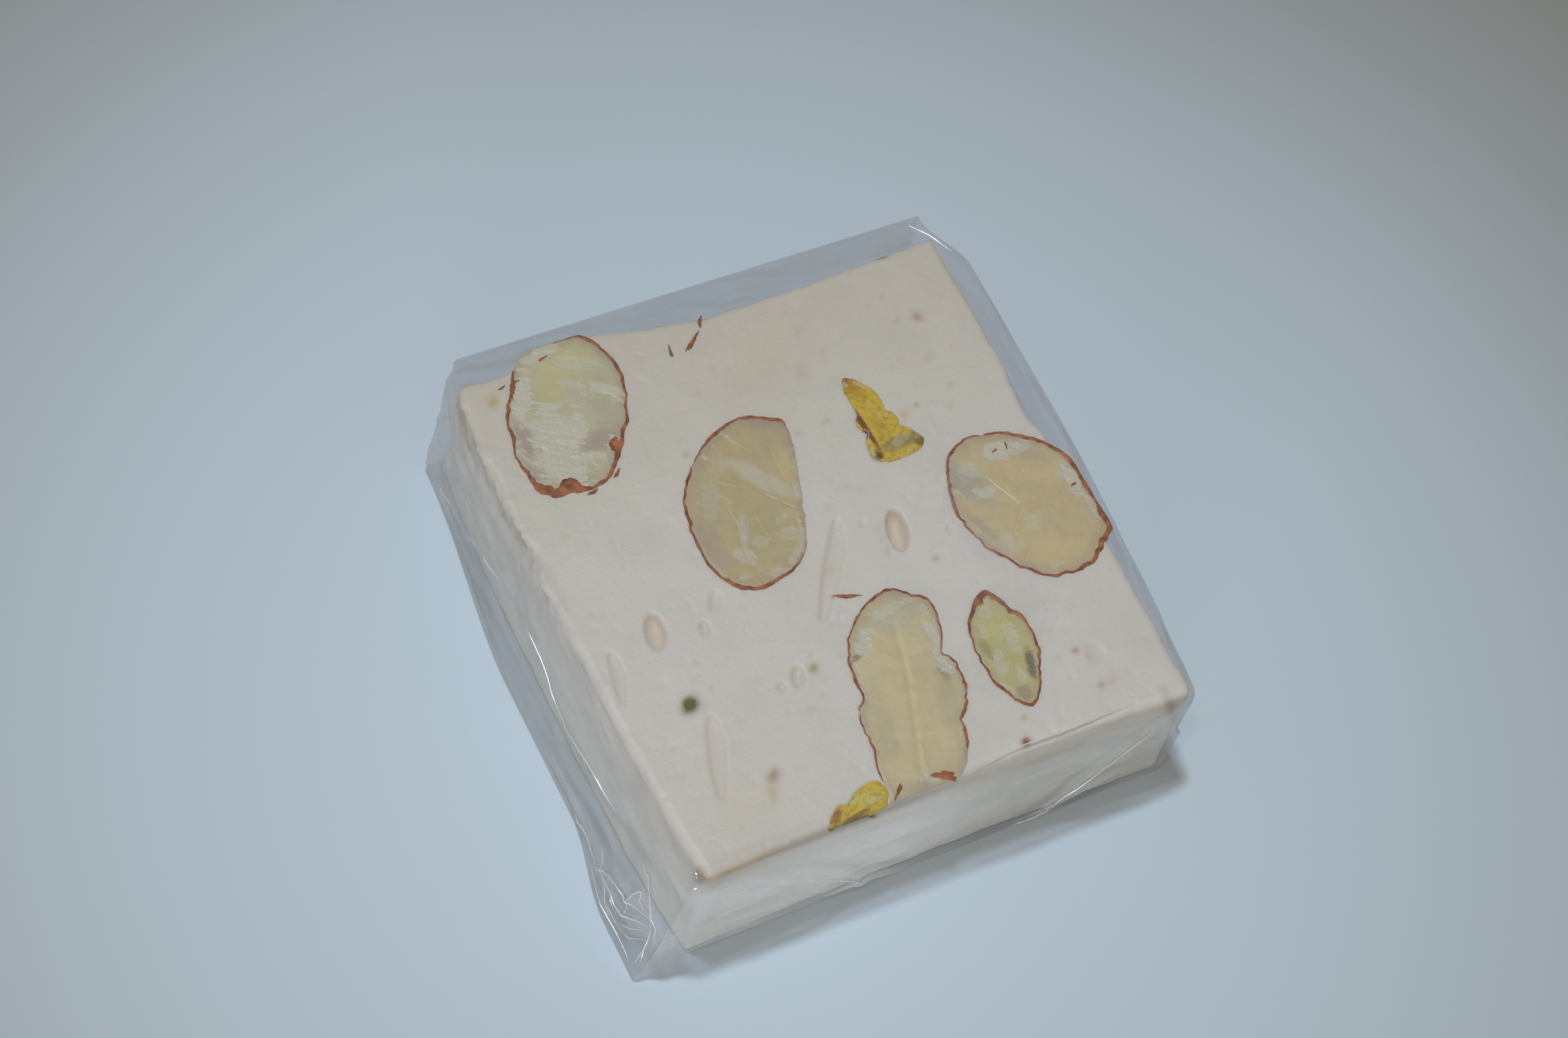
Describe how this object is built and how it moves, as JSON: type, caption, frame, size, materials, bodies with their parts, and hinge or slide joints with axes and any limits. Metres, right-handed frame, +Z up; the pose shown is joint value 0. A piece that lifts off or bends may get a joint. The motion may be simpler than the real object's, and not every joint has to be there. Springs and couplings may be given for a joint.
{
  "type": "nougat bar",
  "caption": "Square block of white nougat with cut almonds and pistachios on its top face, folded like a parcel into a clear film wrapper.",
  "frame": {"origin": "middle of the wrapper's flat underside, on the surface that the bar lies on", "axes": "+Z up out of the cut face with the nuts, +X to the right along the near side, +Y from the near side to the far side"},
  "size_m": [0.0536, 0.0532, 0.0141],
  "materials": {
    "nougat": "satin, slightly waxy",
    "almond": "matte cut kernel with a thin brown skin",
    "pistachio": "matte cut kernel",
    "clear_film": "glossy clear film"
  },
  "bodies": {
    "root": {"nougat": "nougat", "almond_far_left": "almond", "almond_centre": "almond", "almond_right": "almond", "almond_near": "almond", "almond_small": "almond", "pistachio_wedge": "pistachio", "pistachio_edge": "pistachio", "film_wrapper": "clear_film"}
  },
  "joints": []
}
